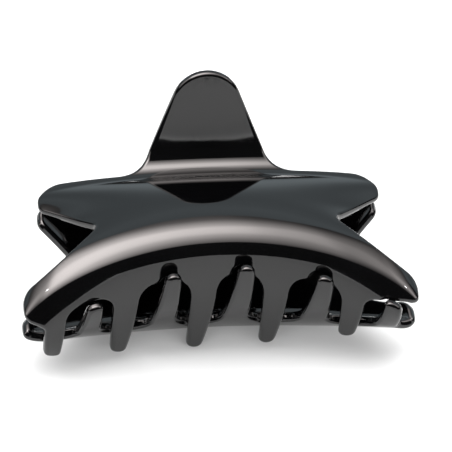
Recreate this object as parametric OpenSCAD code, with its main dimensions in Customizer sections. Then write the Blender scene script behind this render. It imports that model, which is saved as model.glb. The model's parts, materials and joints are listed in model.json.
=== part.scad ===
// Claw clip: two identical moulded jaws turn on one steel pin, and a torsion spring holds them shut.
// The closed clip lies on its back jaw. X runs along the clip, the teeth point to -Y, the finger tabs
// are on the +Y side and +Z is up. The origin is the bottom centre of the closed clip's box.
// A jaw is drawn in its own frame: X along the clip, Y up towards the tabs and Z out of the clip,
// with X, Y and Z zero on the line that the two wing tips share. The back jaw is the same moulding
// turned half a turn about Y.

/* [Jaw section] */
// Thickness of the moulded wall
wall = 2.3; // [1.8:0.1:2.6]
// Length of the finger tab, which is slightly hollow along its length
tab_length = 18.6; // [18.1:0.1:19.1]
// Angle of the finger tab from the clip's middle plane at the tab's end
tab_angle = 72; // [70:0.5:74]
// Angle of the finger tab from the clip's middle plane where it meets the bend
tab_base_angle = 56.5; // [55.5:0.5:57.5]
// Outside radius of the bend between tab and body
bend_radius = 5.1; // [4.9:0.1:5.3]
// Angle at which the body leaves the bend, leaning out from the middle plane
body_angle = 40; // [39:0.5:41]
// Length of the gently crowned body between the bend and the crescent's crest
body_length = 20.6; // [20:0.1:21]
// Angle still left at the end of the body
brow_angle = 8; // [7:0.5:9]
// Outside radius of the crest, where the section turns back towards the middle plane
crest_radius = 10.8; // [10:0.2:11.6]
// Angle at which the crest passes into the tighter fold above the teeth
crest_angle = 24.4; // [20:0.1:28]
// Outside radius of the fold
fold_radius = 5.1; // [4.6:0.1:5.6]
// Angle of the teeth where they leave the fold
root_angle = 61.4; // [60:0.1:63]
// Angle of the teeth at their tips
tip_angle = 99.5; // [97:0.5:102]
// Length over which the longest tooth curves
tooth_curve = 29.2; // [29:0.1:30]
// Distance from the middle plane to the tip of the tab
tab_reach = 25.8; // [25.5:0.1:26.1]
// Height of the tab's tip over the wing tips
tab_rise = 17.4; // [17.1:0.1:17.7]

/* [Jaw bow] */
// Half length at which the wings' cross-section would close
wing_bow = 42.6; // [42.5:0.1:43.5]
// Half length at which the cross-section between wings and crescent would close
waist_bow = 39; // [38.8:0.1:39.6]
// Half length at which the crescent's cross-section would close
crescent_bow = 46.6; // [46.5:0.1:48]
// Drop of the fold towards the ends, for each square millimetre from the middle
end_drop = 0.0042; // [0.003:0.0001:0.005]

/* [Jaw outline] */
// Radius of the tab's round end
tab_end_radius = 8.15; // [7.5:0.05:8.8]
// Angle at which the tab's sides spread
tab_side_angle = 22; // [20:0.1:22.5]
// Radius between the tab's sides and the wings
shoulder_radius = 7.8; // [6:0.1:8]
// Half length across the wings
wing_half = 39.6; // [39:0.1:39.8]
// Distance along the section from the tab's tip to the wings' top edge
wing_top = 24; // [23.8:0.1:24.3]
// Radius of the wing tip's upper corner
wing_corner = 6; // [5:0.1:6.2]
// Radius of the wing tip's lower corner
wing_lower_corner = 3; // [2.6:0.1:3.2]
// Slope of the wing's lower edge
wing_slope = 0.87; // [0.84:0.01:0.9]
// Half length at the point where the edges of wing and crescent would meet
notch_half = 27.1; // [26.8:0.1:27.4]
// Distance along the section to that point
notch_along = 43.5; // [43.2:0.1:43.8]
// Radius of the notch between wing and crescent
notch_radius = 1.2; // [0.8:0.1:1.6]
// Slope of the crescent's upper edge at the notch
crescent_slope = 0.8; // [0.78:0.01:0.82]
// How fast that edge flattens towards the crescent's tip
crescent_flattening = 0.0235; // [0.0225:0.0005:0.0245]
// Half length across the crescent's tips
crescent_half = 45.1; // [44.9:0.1:45.3]
// Radius of the crescent's tips
crescent_corner = 2.4; // [1.5:0.1:2.6]
// Distance along the section to the lower end of the crescent's tips
crescent_end = 57.6; // [57.2:0.1:57.9]

/* [Teeth] */
// Place along the clip of each tooth's straight side
tooth_side = [-39.8, -24.45, -6.95, 9.35, 26.75];
// Width of each tooth at its root
tooth_width = [4.9, 6.05, 6.2, 5.95, 5.35];
// Distance along the section to each tooth's tip
tooth_end = [83.7, 85.5, 86, 84.9, 80.5];
// Width of a tooth just before its rounded tip
tooth_tip_width = 3.8; // [3:0.1:4]
// Distance along the section to the roots of the teeth
tooth_root = 67.4; // [67.1:0.1:67.8]
// Height of the arch after each tooth
arch_rise = [4.1, 4.8, 5.3, 5.4, 3.9];
// Middle of the nest for each tooth of the other jaw, the last one beyond the end tooth
nest_middle = [-28.4, -11.6, 4.6, 21.9, 38.1];
// Depth of each nest above its arch
nest_rise = [0.1, 1.5, 2.5, 2.3, 1.3];
// Half width of a nest
nest_half = 2.2; // [1.9:0.1:2.2]

/* [Hinge] */
// Height of the hinge pin over the wing tips
axis_rise = 6.5; // [6.3:0.1:6.7]
// Diameter of the hinge pin
pin_diameter = 2; // [1.6:0.1:2.2]
// How far the pin stands out of the last knuckle at each end
pin_stand = 0.3; // [0.1:0.1:0.5]
// Outside diameter of the knuckles
knuckle_diameter = 6; // [5:0.1:6.4]
// Length of each knuckle along the pin
knuckle_length = 3; // [2:0.1:3.2]
// Gap between the end faces of neighbouring knuckles
knuckle_gap = 0.2; // [0.15:0.05:0.4]
// Clearance all round the pin in the front jaw, which turns on it
pin_clearance = 0.05; // [0.03:0.01:0.1]

/* [Spring] */
// Wire diameter
wire_diameter = 1; // [0.8:0.1:1]
// Coil diameter at the middle of the wire
coil_diameter = 6.7; // [5.6:0.1:6.8]
// Length of the coil between the middles of its end turns
coil_length = 8.8; // [8:0.1:9]
// Turns of the coil, before the part turn between the legs
coil_turns = 7; // [5:1:8]
// Length of each leg
leg_length = 15; // [12:1:18]
// Angle of a leg from the clip's middle plane
leg_angle = 69.2; // [68:0.1:69.4]

/* [Hidden] */
$fn = 64;

// ---- the section of a jaw: straight and round stretches, each [length, heading at its end] ----
// A heading is measured from straight down, and is positive where the section goes outwards.
stretches = [
    [tab_length, -tab_base_angle],
    [bend_radius * (tab_base_angle + body_angle) * PI / 180, body_angle],
    [body_length, brow_angle],
    [crest_radius * (brow_angle + crest_angle) * PI / 180, -crest_angle],
    [fold_radius * (root_angle - crest_angle) * PI / 180, -root_angle],
    [tooth_curve, -tip_angle]
];

function advance(at, length, turn) =
    abs(turn) < 0.001
        ? [at.x + length * sin(at.z), at.y - length * cos(at.z), at.z]
        : let (radius = length / turn * 180 / PI)
          [at.x + radius * (cos(at.z) - cos(at.z + turn)),
           at.y + radius * (sin(at.z) - sin(at.z + turn)),
           at.z + turn];

// [distance from the middle plane, height, heading] at a distance along the section
function section(along, k = 0, at = [tab_reach, tab_rise, -tab_angle]) =
    let (length = stretches[k][0], turn = stretches[k][1] - at.z)
    along <= length || k == len(stretches) - 1
        ? advance(at, along, turn * along / length)
        : section(along - length, k + 1, advance(at, length, turn));

function clamp(v, low, high) = min(max(v, low), high);
function smooth(v) = let (u = clamp(v, 0, 1)) u * u * (3 - 2 * u);

// Half length at which the cross-section would close at a height
function bow(height) = wing_bow
    + (waist_bow - wing_bow) * smooth((2 - height) / 10)
    + (crescent_bow - waist_bow) * smooth((-8 - height) / 11);

// The outer face of a jaw: x along the clip and the distance along the section
function face_point(x, along) =
    let (at = section(along),
         drop = end_drop * smooth(-at.y / 28))
    [x, at.y - drop * x * x, at.x * sqrt(1 - pow(x / bow(at.y), 2))];

function face_normal(x, along) =
    let (step = 0.01,
         across = face_point(x + step, along) - face_point(x - step, along),
         down = face_point(x, along + step) - face_point(x, along - step),
         normal = cross(down, across))
    normal / norm(normal);

function inner_point(x, along) = face_point(x, along) - wall * face_normal(x, along);

// ---- the outline of a jaw, as distances along the section ----
tab_line_start = [tab_end_radius * cos(tab_side_angle), tab_end_radius * (1 - sin(tab_side_angle))];
shoulder_middle = [
    tab_line_start.x + (wing_top - shoulder_radius - tab_line_start.y) * tan(tab_side_angle)
        + shoulder_radius / cos(tab_side_angle),
    wing_top - shoulder_radius
];
shoulder_start = shoulder_middle.y + shoulder_radius * sin(tab_side_angle);

// Half width of the tab
function tab_half(along) =
    along < tab_line_start.y ? sqrt(pow(tab_end_radius, 2) - pow(tab_end_radius - along, 2))
    : along < shoulder_start ? tab_line_start.x + (along - tab_line_start.y) * tan(tab_side_angle)
    : shoulder_middle.x - sqrt(max(0, pow(shoulder_radius, 2) - pow(along - shoulder_middle.y, 2)));

// The notch is a circle that touches the wing's lower edge and the crescent's upper edge.
edge_up = atan(wing_slope);
edge_down = atan(crescent_slope);
notch_middle = [notch_half, notch_along]
    + notch_radius / sin((edge_up + edge_down) / 2)
        * [cos((edge_down - edge_up) / 2), sin((edge_down - edge_up) / 2)];
notch_end = notch_middle.x - notch_radius;

function notch_arc(x) = sqrt(max(0, pow(notch_radius, 2) - pow(x - notch_middle.x, 2)));

// Upper edge of the wings, beyond the tab's shoulders
function wing_upper(x) =
    let (out = abs(x) - (wing_half - wing_corner))
    out < 0 ? wing_top : wing_top + wing_corner - sqrt(max(0, pow(wing_corner, 2) - out * out));

// Lower edge of the wings, and the seam inside the notches
wing_low_middle = [
    wing_half - wing_lower_corner,
    notch_along - wing_slope * (wing_half - wing_lower_corner - notch_half)
        - wing_lower_corner / cos(edge_up)
];
function wing_lower(x) =
    let (a = abs(x))
    a <= notch_end ? notch_middle.y
    : a < notch_middle.x - notch_radius * sin(edge_up) ? notch_middle.y - notch_arc(a)
    : a < wing_low_middle.x + wing_lower_corner * sin(edge_up)
        ? notch_along - wing_slope * (a - notch_half)
    : wing_low_middle.y + sqrt(max(0, pow(wing_lower_corner, 2) - pow(a - wing_low_middle.x, 2)));

// Upper edge of the crescent
function crescent_edge(a) =
    let (out = a - notch_half)
    notch_along + crescent_slope * out - crescent_flattening * pow(max(0, out - 1), 2);
crescent_middle = [
    crescent_half - crescent_corner,
    crescent_edge(crescent_half - crescent_corner) + crescent_corner
];
function crescent_upper(x) =
    let (a = abs(x))
    a <= notch_end ? notch_middle.y
    : a < notch_middle.x - notch_radius * sin(edge_down) ? notch_middle.y + notch_arc(a)
    : a < crescent_middle.x ? crescent_edge(a)
    : crescent_middle.y - sqrt(max(0, pow(crescent_corner, 2) - pow(a - crescent_middle.x, 2)));

// Lower edge of the crescent: the end without a tooth, the arches, the nests and the tooth roots
last = len(tooth_side) - 1;
open_end = nest_middle[last] + nest_half;
function gap_start(k) = tooth_side[k] + tooth_width[k];
function gap_end(k) = k < last ? tooth_side[k + 1] : 2 * nest_middle[k] - gap_start(k);
function arch(x, k) =
    let (middle = (gap_start(k) + gap_end(k)) / 2,
         v = clamp(abs(x - middle) / (gap_end(k) - middle), 0, 1))
    tooth_root - arch_rise[k] * sqrt(1 - pow(v, 3));
function nest(x, k) =
    let (v = abs(x - nest_middle[k]) / nest_half)
    v < 1 ? nest_rise[k] * sqrt(1 - v * v) : 0;
function gap_of(x) = [for (k = [0 : last]) if (x > gap_start(k) && x < gap_end(k)) k];
function crescent_lower(x) =
    let (k = gap_of(x))
    x < tooth_side[0]
        ? crescent_end + (tooth_root - crescent_end)
            * (x + crescent_half) / (tooth_side[0] + crescent_half)
    : x > open_end
        ? crescent_end + (arch(open_end, last) - crescent_end)
            * (crescent_half - x) / (crescent_half - open_end)
    : len(k) == 0 ? tooth_root
    : arch(x, k[0]) - nest(x, k[0]);

// ---- columns of the moulding's faces ----
function spread(from, to, count) = [for (i = [0 : count - 1]) from + (to - from) * i / count];
function spread_in(from, to, count) = [for (i = [0 : count - 1]) from + (to - from) * sin(90 * i / count)];
function spread_out(from, to, count) = [for (i = [0 : count - 1]) to - (to - from) * cos(90 * i / count)];
function joined(lists) = [for (l = lists) for (v = l) v];
function with_value(v, list) =
    concat([for (x = list) if (x < v - 0.01) x], [v], [for (x = list) if (x > v + 0.01) x]);

tooth_columns = 3;
gap_columns = 3;
end_columns = 5;
plain_columns = joined([
    spread_out(-crescent_half, tooth_side[0], end_columns),
    joined([for (k = [0 : last]) joined([
        spread(tooth_side[k], gap_start(k), tooth_columns),
        spread_out(gap_start(k), nest_middle[k] - nest_half, gap_columns),
        spread(nest_middle[k] - nest_half, nest_middle[k] + nest_half, 4),
        k < last ? spread_in(nest_middle[k] + nest_half, tooth_side[k + 1], gap_columns) : []
    ])]),
    spread_in(open_end, crescent_half, end_columns),
    [crescent_half]
]);
lower_columns = with_value(-notch_end, with_value(notch_end, plain_columns));
shared_columns = [for (x = lower_columns) if (abs(x) <= notch_end) x];
tab_columns = with_value(-shoulder_middle.x, with_value(shoulder_middle.x,
    [for (x = shared_columns) if (abs(x) <= shoulder_middle.x) x]));
wing_count = 8;
wing_side = [for (i = [1 : wing_count]) notch_end + (wing_half - notch_end) * sin(90 * i / wing_count)];
upper_columns = joined([
    [for (i = [wing_count - 1 : -1 : 0]) -wing_side[i]],
    with_value(-shoulder_middle.x, with_value(shoulder_middle.x, shared_columns)),
    wing_side
]);
seam_columns = joined([
    [for (x = lower_columns) if (x < -notch_end) x],
    with_value(-shoulder_middle.x, with_value(shoulder_middle.x, shared_columns)),
    [for (x = lower_columns) if (x > notch_end) x]
]);

// ---- patches: grids of [x, along], rows from top to bottom ----
tab_rows = joined([[for (i = [1 : 5]) tab_line_start.y * (1 - cos(18 * i - 8))],
    spread(tab_line_start.y + 2, tab_length, 3), spread(tab_length, wing_top, 6), [wing_top]]);
tab_patch = [for (along = tab_rows) [for (x = tab_columns)
    [x * tab_half(along) / shoulder_middle.x, along]]];
upper_steps = 10;
upper_patch = [for (j = [0 : upper_steps]) [for (x = upper_columns)
    let (v = pow(j / upper_steps, 1.5))
    [x, wing_upper(x) + (wing_lower(x) - wing_upper(x)) * v]]];
// The rows follow the fold down to an even line, and only the last ones follow the arches.
fold_end = tab_length + stretches[1][0] + body_length + stretches[3][0] + stretches[4][0];
lower_steps = 9;
arch_steps = 2;
function even_line(x) = min(fold_end + 0.4, crescent_lower(x) - 0.5);
lower_patch = concat(
    [for (j = [0 : lower_steps - 1]) [for (x = seam_columns)
        let (v = sin(90 * j / lower_steps))
        [x, crescent_upper(x) + (even_line(x) - crescent_upper(x)) * v]]],
    [for (j = [0 : arch_steps]) [for (x = seam_columns)
        [x, even_line(x) + (crescent_lower(x) - even_line(x)) * j / arch_steps]]]
);
tooth_steps = 8;
function tooth_patch(k) =
    let (radius = tooth_tip_width / 2,
         round_start = tooth_end[k] - radius,
         columns = [for (x = seam_columns)
             if (x >= tooth_side[k] - 0.001 && x <= gap_start(k) + 0.001) x],
         rows = joined([spread(tooth_root, round_start, tooth_steps),
             [for (i = [0 : 3]) round_start + radius * sin(27 * i)]]))
    [for (along = rows) [for (x = columns)
        let (u = (x - tooth_side[k]) / tooth_width[k],
             v = (along - tooth_root) / (round_start - tooth_root),
             width = tooth_width[k] + (tooth_tip_width - tooth_width[k]) * v,
             half = sqrt(max(0, radius * radius - pow(along - round_start, 2))))
        along <= round_start
            ? [tooth_side[k] + u * width, along]
            : [tooth_side[k] + radius + (2 * u - 1) * half, along]]];

// ---- from patches to one closed skin ----
// A patch has outer points, then inner points. Its faces are the two skins and the walls that close
// the open edges: `above` and `below` say for each column whether the edge there is open.
function patch_points(p) = concat(
    [for (row = p) for (q = row) face_point(q.x, q.y)],
    [for (row = p) for (q = row) inner_point(q.x, q.y)]);
function patch_faces(p, first, above, below) =
    let (w = len(p[0]), h = len(p), inner = w * h)
    joined([
        [for (j = [0 : h - 2]) for (i = [0 : w - 2]) for (half = [0, 1])
            let (a = first + j * w + i, b = a + 1, c = a + w, d = c + 1)
            half == 0 ? [a, b, d] : [a, d, c]],
        [for (j = [0 : h - 2]) for (i = [0 : w - 2]) for (half = [0, 1])
            let (a = first + inner + j * w + i, b = a + 1, c = a + w, d = c + 1)
            half == 0 ? [a, d, b] : [a, c, d]],
        [for (i = [0 : w - 2]) if (above(p[0][i], p[0][i + 1])) for (half = [0, 1])
            let (a = first + i, b = a + 1, c = a + inner, d = b + inner)
            half == 0 ? [a, c, d] : [a, d, b]],
        [for (i = [0 : w - 2]) if (below(p[h - 1][i], p[h - 1][i + 1])) for (half = [0, 1])
            let (a = first + (h - 1) * w + i, b = a + 1, c = a + inner, d = b + inner)
            half == 0 ? [a, d, c] : [a, b, d]],
        [for (j = [0 : h - 2]) for (half = [0, 1])
            let (a = first + j * w, b = a + w, c = a + inner, d = b + inner)
            half == 0 ? [a, d, c] : [a, b, d]],
        [for (j = [0 : h - 2]) for (half = [0, 1])
            let (a = first + j * w + w - 1, b = a + w, c = a + inner, d = b + inner)
            half == 0 ? [a, c, d] : [a, d, b]]
    ]);

function beyond_tab(a, b) = abs(a.x + b.x) / 2 > shoulder_middle.x;
function beyond_notch(a, b) = abs(a.x + b.x) / 2 > notch_end;
function between_teeth(a, b) =
    let (x = (a.x + b.x) / 2)
    len([for (k = [0 : last]) if (x > tooth_side[k] && x < gap_start(k)) k]) == 0;

patches = [
    [tab_patch, function (a, b) true, function (a, b) false],
    [upper_patch, function (a, b) beyond_tab(a, b), function (a, b) beyond_notch(a, b)],
    [lower_patch, function (a, b) beyond_notch(a, b), function (a, b) between_teeth(a, b)],
    for (k = [0 : last]) [tooth_patch(k), function (a, b) false, function (a, b) true]
];
function patch_size(p) = 2 * len(p[0]) * len(p[0][0]);
function points_before(k) = k == 0 ? 0 : points_before(k - 1) + patch_size(patches[k - 1]);
skin_points = joined([for (p = patches) patch_points(p[0])]);
skin_faces = joined([for (k = [0 : len(patches) - 1])
    patch_faces(patches[k][0], points_before(k), patches[k][1], patches[k][2])]);

// ---- how the closed clip lies: on the tip of its back tab and on what stands out most below it ----
rest_tilt = min([for (p = skin_points) if (p.y < 0) atan2(tab_reach - abs(p.z), tab_rise - p.y)]);
function lying(p) = [
    p.x,
    p.y * cos(rest_tilt) - p.z * sin(rest_tilt),
    p.y * sin(rest_tilt) + p.z * cos(rest_tilt)
];
lying_points = concat([for (p = skin_points) lying(p)], [for (p = skin_points) lying([-p.x, p.y, -p.z])]);
lying_y = [for (p = lying_points) p.y];
lying_z = [for (p = lying_points) p.z];
module lie_down() {
    translate([0, -(min(lying_y) + max(lying_y)) / 2, -min(lying_z)])
        rotate([rest_tilt, 0, 0])
            children();
}

// ---- hinge ----
pin_radius = pin_diameter / 2;
knuckle_pitch = knuckle_length + knuckle_gap;
inner_knuckle = coil_length / 2 + wire_diameter / 2 + knuckle_gap + 0.1;
outer_knuckle = inner_knuckle + knuckle_pitch;

// Something drawn in the Y-Z plane and drawn out along X
module along_x(from, length) {
    translate([from, 0, 0])
        rotate([90, 0, 90])
            linear_extrude(length)
                children();
}

module knuckle_shape() {
    translate([axis_rise, 0])
        circle(d = knuckle_diameter);
    polygon([
        [axis_rise + knuckle_diameter / 2, 0],
        [axis_rise + 1.9, 6],
        [axis_rise - 3, 6],
        [axis_rise - knuckle_diameter / 2, 0]
    ]);
}

bore_half = outer_knuckle + knuckle_length + 2;
module bore(radius) {
    translate([-bore_half, axis_rise, 0])
        rotate([0, 90, 0])
            cylinder(r = radius, h = 2 * bore_half);
}

// One moulding, with its knuckles bored to the given radius
module jaw(bore_radius) {
    difference() {
        union() {
            polyhedron(points = skin_points, faces = skin_faces, convexity = 12);
            along_x(-outer_knuckle - knuckle_length, knuckle_length)
                knuckle_shape();
            along_x(inner_knuckle, knuckle_length)
                knuckle_shape();
        }
        bore(bore_radius);
    }
}

module front_jaw() {
    color([0.03, 0.03, 0.035])
        lie_down()
            jaw(pin_radius + pin_clearance);
}

module rear_jaw() {
    color([0.05, 0.05, 0.055])
        lie_down()
            rotate([0, 180, 0])
                jaw(pin_radius);
}

module hinge_pin() {
    half = outer_knuckle + knuckle_length + pin_stand;
    color([0.75, 0.75, 0.77])
        lie_down()
            translate([-half, axis_rise, 0])
                rotate([0, 90, 0])
                    cylinder(r = pin_radius, h = 2 * half);
}

// ---- spring ----
// The wire's middle line: the back leg, the coil and the front leg, as [x, angle from up, radius]
coil_radius = coil_diameter / 2;
wire_sides = 8;
rings_per_turn = 18;
coil_sweep = 360 * coil_turns - 2 * (90 - leg_angle);
coil_rings = round(coil_sweep / 360 * rings_per_turn);
function coil_point(v) =
    let (angle = 90 - leg_angle + coil_sweep * v)
    [coil_length * (v - 0.5), axis_rise + coil_radius * cos(angle), coil_radius * sin(angle)];
leg_step = leg_length * [0, cos(leg_angle), sin(leg_angle)];
wire_line = concat(
    [coil_point(0) + [leg_step.x, leg_step.y, -leg_step.z]],
    [for (i = [0 : coil_rings]) coil_point(i / coil_rings)],
    [coil_point(1) + leg_step]
);
function wire_way(i) =
    let (a = wire_line[max(i - 1, 0)], b = wire_line[min(i + 1, len(wire_line) - 1)])
    i == 0 || i == 1 ? unit(wire_line[1] - wire_line[0])
    : i >= len(wire_line) - 2 ? unit(wire_line[len(wire_line) - 1] - wire_line[len(wire_line) - 2])
    : unit(b - a);
function unit(v) = v / norm(v);
function wire_ring(i) =
    let (way = wire_way(i), side = unit(cross(way, [1, 0, 0])), up = cross(side, way))
    [for (k = [0 : wire_sides - 1])
        let (turn = 360 * k / wire_sides)
        wire_line[i] + wire_diameter / 2 * (side * cos(turn) + up * sin(turn))];

module torsion_spring() {
    rings = len(wire_line);
    points = [for (i = [0 : rings - 1]) for (p = wire_ring(i)) p];
    sides = [for (i = [0 : rings - 2]) for (k = [0 : wire_sides - 1])
        let (next = (k + 1) % wire_sides, a = i * wire_sides, b = a + wire_sides)
        [a + next, b + next, b + k, a + k]];
    caps = [
        [for (k = [wire_sides - 1 : -1 : 0]) k],
        [for (k = [0 : wire_sides - 1]) (rings - 1) * wire_sides + k]
    ];
    color([0.7, 0.7, 0.72])
        lie_down()
            polyhedron(points = points, faces = concat(sides, caps), convexity = 10);
}

front_jaw();
rear_jaw();
hinge_pin();
torsion_spring();
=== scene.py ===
import json
import math

import bpy
import numpy as np
from mathutils import Matrix, Vector, kdtree
from mathutils.geometry import delaunay_2d_cdt


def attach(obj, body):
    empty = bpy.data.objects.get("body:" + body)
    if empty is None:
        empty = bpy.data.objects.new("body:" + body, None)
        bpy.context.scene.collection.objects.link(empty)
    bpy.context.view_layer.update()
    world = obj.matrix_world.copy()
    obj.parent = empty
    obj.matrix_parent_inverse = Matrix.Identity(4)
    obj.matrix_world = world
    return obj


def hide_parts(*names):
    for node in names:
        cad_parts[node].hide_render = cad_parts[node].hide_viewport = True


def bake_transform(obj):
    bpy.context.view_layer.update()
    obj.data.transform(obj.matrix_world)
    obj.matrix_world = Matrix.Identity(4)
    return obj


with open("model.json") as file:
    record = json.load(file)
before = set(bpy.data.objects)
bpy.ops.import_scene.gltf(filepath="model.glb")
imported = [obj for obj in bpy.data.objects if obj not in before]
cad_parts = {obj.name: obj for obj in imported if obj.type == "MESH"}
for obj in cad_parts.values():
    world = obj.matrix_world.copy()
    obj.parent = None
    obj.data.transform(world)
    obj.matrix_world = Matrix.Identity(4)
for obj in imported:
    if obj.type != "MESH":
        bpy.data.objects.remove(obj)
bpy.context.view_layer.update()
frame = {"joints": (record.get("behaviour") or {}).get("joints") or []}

# ---------------------------------------------------------------- the clip's measures
# In millimetres, and the same as in the jaws' solids: x along the clip, "along" down the section.
MM = 0.001
WALL = 2.3
EDGE_ROUND = 0.95
REST_TILT = math.radians(13.3256)
AXIS_RISE = 6.5

# The section starts at the tab's tip. Its headings are measured from straight down.
TAB_TIP = (25.8, 17.4)
TAB_ANGLE = 72.0
TAB_BASE_ANGLE = 56.5
BODY_ANGLE = 40.0
BROW_ANGLE = 8.0
CREST_ANGLE = -24.4
ROOT_ANGLE = -61.4
TIP_ANGLE = -99.5


def arc(radius, turn):
    return radius * math.radians(turn)


# Stretches of the section, each [length, heading at its end].
STRETCHES = [
    (18.6, -TAB_BASE_ANGLE),
    (arc(5.1, BODY_ANGLE + TAB_BASE_ANGLE), BODY_ANGLE),
    (20.6, BROW_ANGLE),
    (arc(10.8, BROW_ANGLE - CREST_ANGLE), CREST_ANGLE),
    (arc(5.1, CREST_ANGLE - ROOT_ANGLE), ROOT_ANGLE),
    (29.2, TIP_ANGLE),
]

# Seen from above the jaw is bowed, most at its waist. Low down its ends drop with the square of x.
WING_BOW, WAIST_BOW, CRESCENT_BOW = 42.6, 39.0, 46.6
WAIST_TOP, WAIST_DEPTH = 2, 10
CRESCENT_TOP, CRESCENT_DEPTH = -8, 11
END_DROP, END_DROP_DEPTH = 0.0042, 28

# The outline's half above the teeth
TAB_END_RADIUS, TAB_SIDE_ANGLE, SHOULDER_RADIUS = 8.15, math.radians(22), 7.8
WING_HALF, WING_TOP, WING_CORNER, WING_LOWER_CORNER, WING_SLOPE = 39.6, 24.0, 6.0, 3.0, 0.87
NOTCH_HALF, NOTCH_ALONG, NOTCH_RADIUS = 27.1, 43.5, 1.2
CRESCENT_SLOPE, CRESCENT_FLATTENING = 0.8, 0.0235
CRESCENT_HALF, CRESCENT_CORNER, CRESCENT_END = 45.1, 2.4, 57.6

# The teeth, each with the arch after it and, in that arch, the nest for a tooth of the other jaw
TOOTH_SIDE = [-39.8, -24.45, -6.95, 9.35, 26.75]
TOOTH_WIDTH = [4.9, 6.05, 6.2, 5.95, 5.35]
TOOTH_END = [83.7, 85.5, 86.0, 84.9, 80.5]
TOOTH_TIP_WIDTH = 3.8
TOOTH_ROOT = 67.4
ARCH_RISE = [4.1, 4.8, 5.3, 5.4, 3.9]
NEST_MIDDLE = [-28.4, -11.6, 4.6, 21.9, 38.1]
NEST_RISE = [0.1, 1.5, 2.5, 2.3, 1.3]
NEST_HALF = 2.2
LAST_ARCH_SWEEP = 2.2                                         # radians of the last arch's half turn

# The hinge and the spring
PIN_RADIUS, PIN_STAND, PIN_BEVEL = 1.0, 0.3, 0.2
RUNNING_GAP, COIL_GAP = 0.05, 0.1
KNUCKLE_RADIUS, KNUCKLE_LENGTH, KNUCKLE_GAP, KNUCKLE_CHAMFER = 3.0, 3.0, 0.2, 0.25
WEB_CORNERS = ((1.9, 6.0), (-3.0, 6.0))                       # in the bend's wall, from the axis
WIRE_RADIUS, COIL_RADIUS, COIL_LENGTH, COIL_TURNS = 0.5, 3.35, 8.8, 7
LEG_LENGTH, LEG_HEADING = 15.0, math.radians(69.2)

# How finely the surfaces are divided
FINE_SPACING, LOOP_SPACING = 0.1, 0.4
CORNER_ROUNDING, END_ROUNDING, END_ROUNDING_REACH = 0.45, 2.3, 3.0
RING_ANGLES = [67.5, 45, 22.5, 0]                             # degrees round the rounded edge
RING_SPARE, GRID_SPARE = 0.9, 0.35                            # room kept from the loop and the rings
GRID_COLUMNS = np.arange(-45, 45.1, 1.0)
GRID_ROWS = np.concatenate([np.arange(0.6, 18, 1.2), np.arange(18.4, 27.6, 0.5),
                            np.arange(28.4, 46.5, 1.0), np.arange(47, 57.6, 0.45),
                            np.arange(58.4, 87, 1.2)])         # closer where the section bends
KNUCKLE_SIDES, PIN_SIDES, WIRE_SIDES, STEPS_PER_TURN = 72, 48, 14, 36
NEARBY_ANGLE = 0.06                                           # radians, less than one side of a knuckle


# ---------------------------------------------------------------- the jaw's surface
def smooth(v):
    u = np.clip(v, 0.0, 1.0)
    return u * u * (3 - 2 * u)


def unit(v):
    return v / np.maximum(np.linalg.norm(v, axis=-1, keepdims=True), 1e-12)


def section(along):
    """Distance from the middle plane and height, at distances along the section."""
    out, up = np.zeros_like(along), np.zeros_like(along)
    (n, t), heading, start = TAB_TIP, math.radians(-TAB_ANGLE), 0.0
    last = len(STRETCHES) - 1
    for k, (length, end) in enumerate(STRETCHES):
        end = math.radians(end)
        bend = (end - heading) / length
        d = along - start
        here = ((d >= 0) | (k == 0)) & ((d < length) | (k == last))
        out = np.where(here, n + (math.cos(heading) - np.cos(heading + bend * d)) / bend, out)
        up = np.where(here, t + (math.sin(heading) - np.sin(heading + bend * d)) / bend, up)
        n += (math.cos(heading) - math.cos(end)) / bend
        t += (math.sin(heading) - math.sin(end)) / bend
        heading, start = end, start + length
    return out, up


def bow(height):
    """Half length at which the jaw's bowed cross-section would close, at a height."""
    return (WING_BOW + (WAIST_BOW - WING_BOW) * smooth((WAIST_TOP - height) / WAIST_DEPTH)
            + (CRESCENT_BOW - WAIST_BOW) * smooth((CRESCENT_TOP - height) / CRESCENT_DEPTH))


def face_at(x, along):
    """Outer face of a jaw in its own frame: x, height and distance from the middle plane."""
    out, up = section(along)
    drop = END_DROP * smooth(-up / END_DROP_DEPTH)
    width = np.sqrt(np.maximum(1 - (x / bow(up)) ** 2, 1e-4))
    return np.stack([x, up - drop * x * x, out * width], -1)


def face_points(flat):
    return face_at(flat[:, 0], flat[:, 1])


def tangents(flat):
    step = 0.01
    across = (face_points(flat + [step, 0]) - face_points(flat - [step, 0])) / (2 * step)
    down = (face_points(flat + [0, step]) - face_points(flat - [0, step])) / (2 * step)
    return across, down


def face_normals(flat):
    across, down = tangents(flat)
    return unit(np.cross(down, across))


# ---------------------------------------------------------------- the jaw's outline
def arc_points(middle, radius, start, stop, count):
    return [(middle[0] + radius * math.cos(a), middle[1] + radius * math.sin(a))
            for a in np.linspace(start, stop, count)]


def crescent_edge(x):
    """Upper edge of the crescent, from the notch to the crescent's end."""
    out = x - NOTCH_HALF
    return NOTCH_ALONG + CRESCENT_SLOPE * out - CRESCENT_FLATTENING * max(0, out - 1) ** 2


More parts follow.
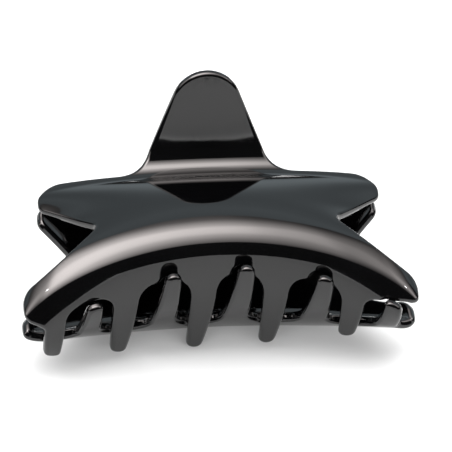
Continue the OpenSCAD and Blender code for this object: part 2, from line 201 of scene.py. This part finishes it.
def side_outline():
    """The right side as points [x, along]: tab, shoulder, wing, notch and the crescent's end."""
    quarter = math.pi / 2
    tab_side = (TAB_END_RADIUS * math.cos(TAB_SIDE_ANGLE),
                TAB_END_RADIUS * (1 - math.sin(TAB_SIDE_ANGLE)))
    shoulder_along = WING_TOP - SHOULDER_RADIUS
    shoulder = (tab_side[0] + (shoulder_along - tab_side[1]) * math.tan(TAB_SIDE_ANGLE)
                + SHOULDER_RADIUS / math.cos(TAB_SIDE_ANGLE), shoulder_along)
    up, down = math.atan(WING_SLOPE), math.atan(CRESCENT_SLOPE)
    low_x = WING_HALF - WING_LOWER_CORNER
    low = (low_x, NOTCH_ALONG - WING_SLOPE * (low_x - NOTCH_HALF) - WING_LOWER_CORNER / math.cos(up))
    reach = NOTCH_RADIUS / math.sin((up + down) / 2)
    notch = (NOTCH_HALF + reach * math.cos((down - up) / 2),
             NOTCH_ALONG + reach * math.sin((down - up) / 2))
    end_x = CRESCENT_HALF - CRESCENT_CORNER
    end = (end_x, crescent_edge(end_x) + CRESCENT_CORNER)

    points = arc_points((0, TAB_END_RADIUS), TAB_END_RADIUS, -quarter, -TAB_SIDE_ANGLE, 40)
    points += arc_points(shoulder, SHOULDER_RADIUS, math.pi - TAB_SIDE_ANGLE, quarter, 30)
    points += arc_points((WING_HALF - WING_CORNER, WING_TOP + WING_CORNER), WING_CORNER, -quarter, 0, 30)
    points += arc_points(low, WING_LOWER_CORNER, 0, quarter - up, 20)
    points += arc_points(notch, NOTCH_RADIUS, -quarter - up, down - 3 * quarter, 20)
    points += [(x, crescent_edge(x)) for x in np.linspace(notch[0], end_x, 60)]
    points += arc_points(end, CRESCENT_CORNER, 0.1 - quarter, 0, 20)
    return points + [(CRESCENT_HALF, CRESCENT_END)]


def gap_edge(x, k, start, end):
    """Edge of the arch between start and end, after tooth k, with its nest."""
    middle = (start + end) / 2
    v = min(abs(x - middle) / (end - middle), 1)
    near = abs(x - NEST_MIDDLE[k]) / NEST_HALF
    nest = NEST_RISE[k] * math.sqrt(1 - near ** 2) if near < 1 else 0
    return TOOTH_ROOT - ARCH_RISE[k] * math.sqrt(1 - v ** 3) - nest


def lower_outline():
    """The teeth and the arches after them as points [x, along], from left to right."""
    last = len(TOOTH_SIDE) - 1
    tip = TOOTH_TIP_WIDTH / 2
    points = []
    for k, side in enumerate(TOOTH_SIDE):
        points.append((side, TOOTH_ROOT))
        points += arc_points((side + tip, TOOTH_END[k] - tip), tip, math.pi, 0, 24)
        start = side + TOOTH_WIDTH[k]
        if k < last:
            end = stop = TOOTH_SIDE[k + 1]
            sweep = math.pi
        else:                                                 # it runs out in the crescent's end
            end, stop = 2 * NEST_MIDDLE[k] - start, NEST_MIDDLE[k] + NEST_HALF
            sweep = LAST_ARCH_SWEEP
        shares = (1 - np.cos(np.linspace(0, sweep, 70))) / 2
        points += [(x, gap_edge(x, k, start, end)) for x in start + (stop - start) * shares]
    return points


def outline():
    """The whole outline as a closed loop of [x, along], from the tab's tip down the right side."""
    side = side_outline()
    return np.array(side + lower_outline()[::-1] + [(-x, along) for x, along in side[:0:-1]])


def softened(loop, amount):
    """A closed loop of fine, even spacing with its corners averaged over a bell of this width."""
    half = int(3 * amount / FINE_SPACING)
    weight = np.exp(-0.5 * (np.arange(-half, half + 1) * FINE_SPACING / amount) ** 2)
    weight /= weight.sum()
    return sum(w * np.roll(loop, k - half, axis=0) for k, w in enumerate(weight))


def even_loop(loop):
    """The loop with evenly spaced points and rounded corners, most round at the crescent's ends."""
    closed = np.vstack([loop, loop[:1]])
    steps = np.linalg.norm(np.diff(face_points(closed), axis=0), axis=1)
    run = np.concatenate([[0], np.cumsum(steps)])
    at = np.arange(int(run[-1] / FINE_SPACING)) * FINE_SPACING
    fine = np.stack([np.interp(at, run, closed[:, i]) for i in (0, 1)], -1)
    to_end = np.hypot(np.abs(fine[:, 0]) - CRESCENT_HALF, fine[:, 1] - CRESCENT_END)
    share = np.exp(-0.5 * (to_end / END_ROUNDING_REACH) ** 2)[:, None]
    loop = (1 - share) * softened(fine, CORNER_ROUNDING) + share * softened(fine, END_ROUNDING)
    return loop[:: int(round(LOOP_SPACING / FINE_SPACING))]


# ---------------------------------------------------------------- the jaw's skin
def inward(loop):
    """Inward unit direction in space at each point of the loop, and the same step in [x, along]."""
    across, down = tangents(loop)
    space = face_points(loop)
    way = unit(np.roll(space, -1, axis=0) - np.roll(space, 1, axis=0))
    m = unit(np.cross(way, unit(np.cross(down, across))))
    cross_term = (across * down).sum(1)
    metric = np.stack([np.stack([(across * across).sum(1), cross_term], -1),
                       np.stack([cross_term, (down * down).sum(1)], -1)], -2)
    share = np.stack([(across * m).sum(1), (down * m).sum(1)], -1)
    return m, np.linalg.solve(metric, share[..., None])[..., 0]


def inside(points, loop):
    """Even-odd test of points against the closed loop."""
    x, y = points[:, 0][:, None], points[:, 1][:, None]
    ax, ay = loop[:, 0][None], loop[:, 1][None]
    b = np.roll(loop, -1, axis=0)
    bx, by = b[:, 0][None], b[:, 1][None]
    crosses = ((ay > y) != (by > y)) & (x < (bx - ax) * (y - ay) / np.where(by == ay, 1, by - ay) + ax)
    return crosses.sum(1) % 2 == 1


def edge_distance(points, loop_space):
    """Distance from points in space to the closed loop, and the unit direction away from it."""
    count = len(loop_space)
    tree = kdtree.KDTree(count)
    for i, p in enumerate(loop_space):
        tree.insert(p, i)
    tree.balance()
    near = np.array([tree.find(p)[1] for p in points])
    best, away = np.full(len(points), np.inf), np.zeros((len(points), 3))
    for a, b in ((near, (near + 1) % count), ((near - 1) % count, near)):
        start, line = loop_space[a], loop_space[b] - loop_space[a]
        v = np.clip(((points - start) * line).sum(1) / (line * line).sum(1), 0, 1)
        gap = points - start - v[:, None] * line
        d = np.linalg.norm(gap, axis=1)
        closer = d < best
        best, away = np.where(closer, d, best), np.where(closer[:, None], gap, away)
    return best, unit(away)


def skin_samples(loop, step):
    """Points [x, along] of the skin: the loop, rings over its rounded edge, and a grid within."""
    loop_space = face_points(loop)
    samples = [loop]
    for angle in np.radians(RING_ANGLES):
        d = EDGE_ROUND * (1 - math.sin(angle))
        ring = loop + d * step
        ring = ring[inside(ring, loop)]
        samples.append(ring[edge_distance(face_points(ring), loop_space)[0] > RING_SPARE * d])
    grid = np.array([(x, along) for along in GRID_ROWS for x in GRID_COLUMNS])
    grid = grid[inside(grid, loop)]
    samples.append(grid[edge_distance(face_points(grid), loop_space)[0] > EDGE_ROUND + GRID_SPARE])
    return np.vstack(samples)


def jaw_skin():
    """Vertices, faces and normals of the moulding's shell, with rounded edges all round."""
    loop = even_loop(outline())
    inward_space, step = inward(loop)
    count = len(loop)
    edges = [(i, (i + 1) % count) for i in range(count)]
    made = delaunay_2d_cdt([Vector(p) for p in skin_samples(loop, step)], edges, [], 1, 1e-5)
    flat = np.array([tuple(v) for v in made[0]])

    normal = face_normals(flat)
    space = face_points(flat)
    d, away = edge_distance(space, face_points(loop))
    away = unit(away - (away * normal).sum(1)[:, None] * normal)
    away[:count], d[:count] = inward_space, 0                 # the loop's points come first
    sine = np.clip(1 - d / EDGE_ROUND, 0, 1)[:, None]
    cosine = np.sqrt(1 - sine * sine)
    depth = EDGE_ROUND * (1 - cosine)
    points = np.vstack([space - depth * normal, space - (WALL - depth) * normal])
    normals = np.vstack([unit(cosine * normal - sine * away), unit(-cosine * normal - sine * away)])

    n = len(flat)
    faces = [tuple(face[::-1]) for face in made[2]]
    faces += [tuple(v + n for v in face[::-1]) for face in faces]
    faces += [(p, q, q + n, p + n) for p, q in edges]
    return points, faces, normals


# ---------------------------------------------------------------- placing and mesh helpers
hinge = frame["joints"][0]["pos_m"]
COS_TILT, SIN_TILT = math.cos(REST_TILT), math.sin(REST_TILT)
LIFT = np.array([0, hinge[1] - MM * AXIS_RISE * COS_TILT, hinge[2] - MM * AXIS_RISE * SIN_TILT])
TURN = np.array([[1, 0, 0], [0, COS_TILT, -SIN_TILT], [0, SIN_TILT, COS_TILT]])


def lie_down(points):
    """Points in the clip's own frame, laid down as the clip lies, in metres."""
    return MM * np.asarray(points) @ TURN.T + LIFT


def make(name, points, faces, material, normals=None, smooth_shaded=True):
    """A mesh from points in the clip's own frame."""
    mesh = bpy.data.meshes.new(name)
    mesh.from_pydata([tuple(p) for p in lie_down(points)], [], faces)
    mesh.polygons.foreach_set("use_smooth", [smooth_shaded] * len(mesh.polygons))
    if normals is not None:
        mesh.normals_split_custom_set_from_vertices([tuple(v) for v in np.asarray(normals) @ TURN.T])
    mesh.materials.append(material)
    mesh.update()
    obj = bpy.data.objects.new(name, mesh)
    bpy.context.scene.collection.objects.link(obj)
    return obj


def half_turn(v):
    """The back jaw is the front one turned half a turn about the clip's middle line."""
    return np.asarray(v) * np.array([-1, 1, -1])


def lofted(rings, closed):
    """Points and faces through rings of points. A closed loft returns to its first ring, and an
    open one has a face at each end."""
    sides = len(rings[0])
    faces = []
    for j in range(len(rings) if closed else len(rings) - 1):
        a, b = j * sides, (j + 1) % len(rings) * sides
        for i in range(sides):
            k = (i + 1) % sides
            faces.append((a + k, b + k, b + i, a + i))
    if not closed:
        faces.append(tuple(reversed(range(sides))))
        faces.append(tuple(range((len(rings) - 1) * sides, len(rings) * sides)))
    return np.vstack(rings), faces


def ring_round_axis(x, radius, sides):
    """Points round the hinge's axis; the radius is one number, or one for each point."""
    turns = np.linspace(0, 2 * math.pi, sides, endpoint=False)
    return np.stack([np.full(sides, x), AXIS_RISE + radius * np.cos(turns), radius * np.sin(turns)], -1)


# ---------------------------------------------------------------- materials
def surface(mat):
    return mat.node_tree.nodes["Principled BSDF"]


def new_material(name):
    mat = bpy.data.materials.new(name)
    mat.use_nodes = True
    return mat


def add_noise(mat, scale, detail, space="Object"):
    """Noise fixed to the object, round 0.5. Generated space runs from 0 to 1 over the object."""
    nodes, links = mat.node_tree.nodes, mat.node_tree.links
    coords, noise = nodes.new("ShaderNodeTexCoord"), nodes.new("ShaderNodeTexNoise")
    noise.inputs["Scale"].default_value = scale
    noise.inputs["Detail"].default_value = detail
    links.new(coords.outputs[space], noise.inputs["Vector"])
    return noise.outputs["Fac"]


def add_tones(mat, value, places, dark, light):
    """The base colour, from dark to light as the value goes from one place to the other."""
    ramp = mat.node_tree.nodes.new("ShaderNodeValToRGB")
    for element, place, colour in zip(ramp.color_ramp.elements, places, (dark, light)):
        element.position, element.color = place, colour
    mat.node_tree.links.new(value, ramp.inputs["Fac"])
    mat.node_tree.links.new(ramp.outputs["Color"], surface(mat).inputs["Base Color"])


def add_haze(mat, value, places, low, high):
    """The roughness, from low to high as the value goes from one place to the other."""
    haze = mat.node_tree.nodes.new("ShaderNodeMapRange")
    haze.inputs["From Min"].default_value, haze.inputs["From Max"].default_value = places
    haze.inputs["To Min"].default_value, haze.inputs["To Max"].default_value = low, high
    mat.node_tree.links.new(value, haze.inputs["Value"])
    mat.node_tree.links.new(haze.outputs["Result"], surface(mat).inputs["Roughness"])


def plastic():
    """Moulded black, very slightly uneven in tone, with a polished skin and its slow waves."""
    mat = new_material("jaw_plastic")
    surface(mat).inputs["IOR"].default_value = 1.5
    add_tones(mat, add_noise(mat, 60, 3), (0.3, 0.7),
              (0.0006, 0.0006, 0.0007, 1), (0.0012, 0.0012, 0.0014, 1))
    add_haze(mat, add_noise(mat, 900, 4), (0.3, 0.75), 0.045, 0.085)
    bump = mat.node_tree.nodes.new("ShaderNodeBump")
    bump.inputs["Strength"].default_value = 0.5
    bump.inputs["Distance"].default_value = 0.00006
    mat.node_tree.links.new(add_noise(mat, 110, 1), bump.inputs["Height"])
    mat.node_tree.links.new(bump.outputs["Normal"], surface(mat).inputs["Normal"])
    return mat


def steel(name, low, high):
    """Drawn steel, finely uneven in tone and polish."""
    mat = new_material(name)
    surface(mat).inputs["Metallic"].default_value = 1
    noise = add_noise(mat, 700, 4)
    add_tones(mat, noise, (0, 1), (low, low, low * 1.02, 1), (high, high, high * 1.02, 1))
    add_haze(mat, noise, (0, 1), 0.2, 0.38)
    return mat


def paper(name, grey):
    """A plain white board."""
    mat = new_material(name)
    add_tones(mat, add_noise(mat, 40, 2, "Generated"), (0, 1), (grey * 0.995,) * 3 + (1,), (grey,) * 3 + (1,))
    surface(mat).inputs["Roughness"].default_value = 0.9
    surface(mat).inputs["Specular IOR Level"].default_value = 0.1
    return mat


jaw_plastic = plastic()
pin_steel = steel("pin_steel", 0.42, 0.62)
spring_steel = steel("spring_steel", 0.36, 0.58)


# ---------------------------------------------------------------- the jaws
def knuckle_reach():
    """Distance from the axis to the outside of a knuckle with its web, at even angles."""
    edge = arc_points((0, 0), KNUCKLE_RADIUS, 0, 2 * math.pi, 400)
    right, left = WEB_CORNERS
    for (ax, ay), (bx, by) in ((right, left), ((KNUCKLE_RADIUS, 0), right), ((-KNUCKLE_RADIUS, 0), left)):
        edge += [(ax + (bx - ax) * v, ay + (by - ay) * v) for v in np.linspace(0, 1, 200)]
    x, y = np.array(edge).T
    way, reach = np.arctan2(y, x), np.hypot(x, y)
    turns = np.linspace(0, 2 * math.pi, KNUCKLE_SIDES, endpoint=False)
    apart = [np.abs((way - a + math.pi) % (2 * math.pi) - math.pi) for a in turns]
    return np.array([reach[angle < NEARBY_ANGLE].max() for angle in apart])


def knuckle(x0, x1, bore):
    """A bored knuckle with its web to the bend, chamfered at both ends."""
    reach = knuckle_reach()
    rings = [(x0, bore), (x0, reach - KNUCKLE_CHAMFER), (x0 + KNUCKLE_CHAMFER, reach),
             (x1 - KNUCKLE_CHAMFER, reach), (x1, reach - KNUCKLE_CHAMFER), (x1, bore)]
    return lofted([ring_round_axis(x, radius, KNUCKLE_SIDES) for x, radius in rings], closed=True)


skin_points, skin_faces, skin_normals = jaw_skin()
front_skin = make("front_jaw_moulding", skin_points, skin_faces, jaw_plastic, skin_normals)
rear_skin = make("rear_jaw_moulding", half_turn(skin_points), skin_faces, jaw_plastic,
                 half_turn(skin_normals))

INNER_KNUCKLE = COIL_LENGTH / 2 + WIRE_RADIUS + KNUCKLE_GAP + COIL_GAP
OUTER_KNUCKLE = INNER_KNUCKLE + KNUCKLE_LENGTH + KNUCKLE_GAP
knuckles = {"front_jaw": [], "rear_jaw": []}
for body, bore in (("front_jaw", PIN_RADIUS + RUNNING_GAP), ("rear_jaw", PIN_RADIUS)):
    for number, x0 in enumerate((-OUTER_KNUCKLE - KNUCKLE_LENGTH, INNER_KNUCKLE), 1):
        points, faces = knuckle(x0, x0 + KNUCKLE_LENGTH, bore)
        if body == "rear_jaw":
            points = half_turn(points)
        piece = make(f"{body}_knuckle_{number}", points, faces, jaw_plastic, smooth_shaded=False)
        knuckles[body].append(piece)

# ---------------------------------------------------------------- the pin
PIN_HALF = OUTER_KNUCKLE + KNUCKLE_LENGTH + PIN_STAND
# x and share of the radius
pin_profile = [(-PIN_HALF, 0.02), (-PIN_HALF, 0.78), (-PIN_HALF + PIN_BEVEL, 1.0),
               (PIN_HALF - PIN_BEVEL, 1.0), (PIN_HALF, 0.78), (PIN_HALF, 0.02)]
pin_rings = [ring_round_axis(x, share * PIN_RADIUS, PIN_SIDES) for x, share in pin_profile]
pin = make("hinge_pin_rod", *lofted(pin_rings, closed=False), pin_steel)
for end_face in list(pin.data.polygons)[-2:]:
    end_face.use_smooth = False


# ---------------------------------------------------------------- the spring
def wire_line():
    """Middle line of the spring's wire: back leg, coil and front leg."""
    first = math.pi / 2 - LEG_HEADING
    shares = np.linspace(0, 1, STEPS_PER_TURN * COIL_TURNS + 1)
    angle = first + (2 * math.pi * COIL_TURNS - 2 * first) * shares
    coil = np.stack([COIL_LENGTH * (shares - 0.5), AXIS_RISE + COIL_RADIUS * np.cos(angle),
                     COIL_RADIUS * np.sin(angle)], -1)
    leg = LEG_LENGTH * np.array([0, math.cos(LEG_HEADING), math.sin(LEG_HEADING)])
    shares = np.linspace(0, 1, 13)[1:, None]
    return np.vstack([coil[0] + shares[::-1] * leg * [1, 1, -1], coil, coil[-1] + shares * leg])


def tube(line, radius, sides):
    """A round wire along a line, slightly narrower at its two cut ends."""
    way = unit(np.gradient(line, axis=0))
    side = unit(np.cross(way, [1, 0, 0]))
    up = np.cross(way, side)
    radii = np.full(len(line), radius)
    radii[[0, -1]] *= 0.8
    turns = np.linspace(0, 2 * math.pi, sides, endpoint=False)[:, None]
    rings = [p + r * (s * np.cos(turns) + u * np.sin(turns)) for p, r, s, u in zip(line, radii, side, up)]
    return lofted(rings, closed=False)


spring = make("torsion_spring_wire", *tube(wire_line(), WIRE_RADIUS, WIRE_SIDES), spring_steel)

# ---------------------------------------------------------------- what rides on what
for body, skin in (("front_jaw", front_skin), ("rear_jaw", rear_skin)):
    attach(skin, body)
    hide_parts(body)
    for piece in knuckles[body]:
        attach(piece, body)
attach(pin, "rear_jaw")
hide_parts("hinge_pin")
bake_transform(spring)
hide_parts("torsion_spring")


# ---------------------------------------------------------------- floor and lights
def rectangle(low, high):
    """Corners of a rectangle from two opposite ones, which share one coordinate."""
    first, second = [i for i in range(3) if low[i] != high[i]]
    corners = []
    for a, b in ((low, low), (high, low), (high, high), (low, high)):
        corner = list(low)
        corner[first], corner[second] = a[first], b[second]
        corners.append(corner)
    return corners


def sheet(name, corners, material):
    """A flat four-cornered part of the studio."""
    mesh = bpy.data.meshes.new(name)
    mesh.from_pydata(corners, [], [(0, 1, 2, 3)])
    mesh.materials.append(material)
    obj = bpy.data.objects.new(name, mesh)
    bpy.context.scene.collection.objects.link(obj)
    return obj


def steady(level):
    """Stops for one level all over."""
    return [(-10, level), (10, level)]


def add_curve(mat, source, stops):
    """A value that follows the stops [place, level] along a coordinate."""
    nodes, links = mat.node_tree.nodes, mat.node_tree.links
    place, curve, scale = (nodes.new("ShaderNodeMapRange"), nodes.new("ShaderNodeFloatCurve"),
                           nodes.new("ShaderNodeMath"))
    low, high, top = stops[0][0], stops[-1][0], max(level for _, level in stops)
    place.inputs["From Min"].default_value, place.inputs["From Max"].default_value = low, high
    links.new(source, place.inputs["Value"])
    links.new(place.outputs["Result"], curve.inputs["Value"])
    points = curve.mapping.curves[0].points
    while len(points) < len(stops):
        points.new(0.5, 0.5)
    for point, (at, level) in zip(points, stops):
        point.location = ((at - low) / (high - low), level / top)
        point.handle_type = "AUTO_CLAMPED"
    curve.mapping.update()
    scale.operation = "MULTIPLY"
    scale.inputs[1].default_value = top
    links.new(curve.outputs["Value"], scale.inputs[0])
    return scale.outputs["Value"]


def glow(name, corners, colour, axis, stops, sideways=steady(1), mirrored=True):
    """A sheet whose radiance follows stops along an axis and across. It lights nothing: it is seen
    in the gloss when mirrored, and only directly when not."""
    mat = new_material(name)
    nodes, links = mat.node_tree.nodes, mat.node_tree.links
    nodes.clear()
    output, emission = nodes.new("ShaderNodeOutputMaterial"), nodes.new("ShaderNodeEmission")
    coords, split = nodes.new("ShaderNodeTexCoord"), nodes.new("ShaderNodeSeparateXYZ")
    both = nodes.new("ShaderNodeMath")
    both.operation = "MULTIPLY"
    emission.inputs["Color"].default_value = colour
    links.new(coords.outputs["Object"], split.inputs["Vector"])
    links.new(add_curve(mat, split.outputs[axis], stops), both.inputs[0])
    links.new(add_curve(mat, split.outputs["X"], sideways), both.inputs[1])
    links.new(both.outputs["Value"], emission.inputs["Strength"])
    links.new(emission.outputs["Emission"], output.inputs["Surface"])
    obj = sheet(name, corners, mat)
    obj.visible_diffuse = obj.visible_shadow = False
    obj.visible_glossy, obj.visible_camera = mirrored, not mirrored


def lamp(name, place, aim, width, depth, power):
    """A soft light for the table that doesn't show in reflections."""
    light = bpy.data.lights.new(name, "AREA")
    light.shape, light.size, light.size_y, light.energy = "RECTANGLE", width, depth, power
    obj = bpy.data.objects.new(name, light)
    obj.location = place
    obj.rotation_euler = (Vector(aim) - Vector(place)).to_track_quat("-Z", "Y").to_euler()
    obj.visible_glossy = False
    bpy.context.scene.collection.objects.link(obj)


WHITE, WARM, COOL = (1, 1, 1, 1), (1, 0.93, 0.91, 1), (0.88, 1, 1.06, 1)
sheet("table", rectangle((-3, -3, 0), (3, 0.25, 0)), paper("table_white", 0.86))
glow("softbox", rectangle((-1.6, -0.204, 0.4), (1.6, 0.33, 0.4)), WARM, "Y",
     [(-0.204, 1.4), (-0.146, 3.5), (-0.07, 7.4), (0.042, 12.3), (0.107, 8.5), (0.187, 4.4),
      (0.26, 1.9), (0.33, 0.75)],
     [(-1.6, 0.5), (-0.42, 0.5), (-0.33, 0.95), (-0.22, 1.45), (-0.07, 1.3), (0, 1.15), (0.06, 1.0),
      (0.12, 0.66), (0.2, 0.5), (0.28, 0.33), (0.42, 0.33), (0.5, 0.42), (1.6, 0.45)])
glow("backdrop", rectangle((-3, 1.2, 0), (3, 1.2, 1.8)), COOL, "Z",
     [(0, 0.4), (0.2, 0.8), (0.4, 0.65), (0.56, 0.58), (0.8, 0.7), (1.1, 0.9), (1.4, 0.85), (1.8, 0.8)])

# the studio's far walls, pale and plain
for name, low, high in (("wall_back", (-4, 4, -1), (4, 4, 3)), ("wall_front", (-4, -4, -1), (4, -4, 3)),
                        ("wall_left", (-4, -4, -1), (-4, 4, 3)), ("wall_right", (4, -4, -1), (4, 4, 3))):
    glow(name, rectangle(low, high), WHITE, "Z", [(-1, 0.8), (3, 0.9)], mirrored=False)

# two small side lamps, each mirrored as a point of light near one end of the crescent
LAMP_DISTANCE, LAMP_HALF = 0.35, 0.004
for name, x, along, way in (("side_lamp_left", -39.3, 54.1, (-0.622, 0.069, 0.780)),
                            ("side_lamp_right", 41.4, 55.3, (0.829, 0.023, 0.559))):
    centre = lie_down(face_points(np.array([[x, along]])))[0] + LAMP_DISTANCE * np.array(way)
    across = LAMP_HALF * unit(np.cross(way, [0, 1, 0]))
    upward = LAMP_HALF * unit(np.cross(way, across))
    corners = [tuple(centre + i * across + j * upward) for i, j in ((-1, -1), (1, -1), (1, 1), (-1, 1))]
    glow(name, corners, WHITE, "Z", steady(120))

lamp("overhead", (-0.02, 0.2, 0.6), (0, 0, 0), 1.3, 0.9, 12)
lamp("front_fill", (0, -0.7, 0.8), (0, -0.6, 0), 2.4, 1.6, 8)
lamp("far_fill", (0, -2.1, 0.8), (0, -2.1, 0), 5.0, 2.0, 130)
world = bpy.data.worlds.new("room")
bpy.context.scene.world = world
world.use_nodes = True
world.node_tree.nodes["Background"].inputs["Color"].default_value = (0.05, 0.05, 0.05, 1)

# ---------------------------------------------------------------- the camera
# It looks at the clip from in front and above. Its directions are in the clip's own frame.
CAMERA_DISTANCE, FOCAL_LENGTH, SENSOR = 946, 328.7, 36
AIM_RIGHT, AIM_UPWARD = 4.22, -5.02
RIGHT = np.array([0.9931, -0.0968, 0.0662])
UPWARD = np.array([0.0362, 0.7897, 0.6125])
BACK = np.array([-0.1116, -0.6059, 0.7877])
eye, aim = lie_down([CAMERA_DISTANCE * BACK, AIM_RIGHT * RIGHT + AIM_UPWARD * UPWARD])
backward = unit(eye - aim)
right = unit(np.cross(TURN @ UPWARD, backward))
turn = np.stack([right, np.cross(backward, right), backward], 1)
lens = bpy.data.cameras.new("camera")
lens.sensor_width, lens.lens = SENSOR, FOCAL_LENGTH
camera = bpy.data.objects.new("camera", lens)
camera.matrix_world = Matrix.Translation(Vector(eye)) @ Matrix(turn.tolist()).to_4x4()
bpy.context.scene.collection.objects.link(camera)
bpy.context.scene.camera = camera
bpy.context.scene.view_settings.view_transform = "Standard"
bpy.context.scene.view_settings.exposure = 0
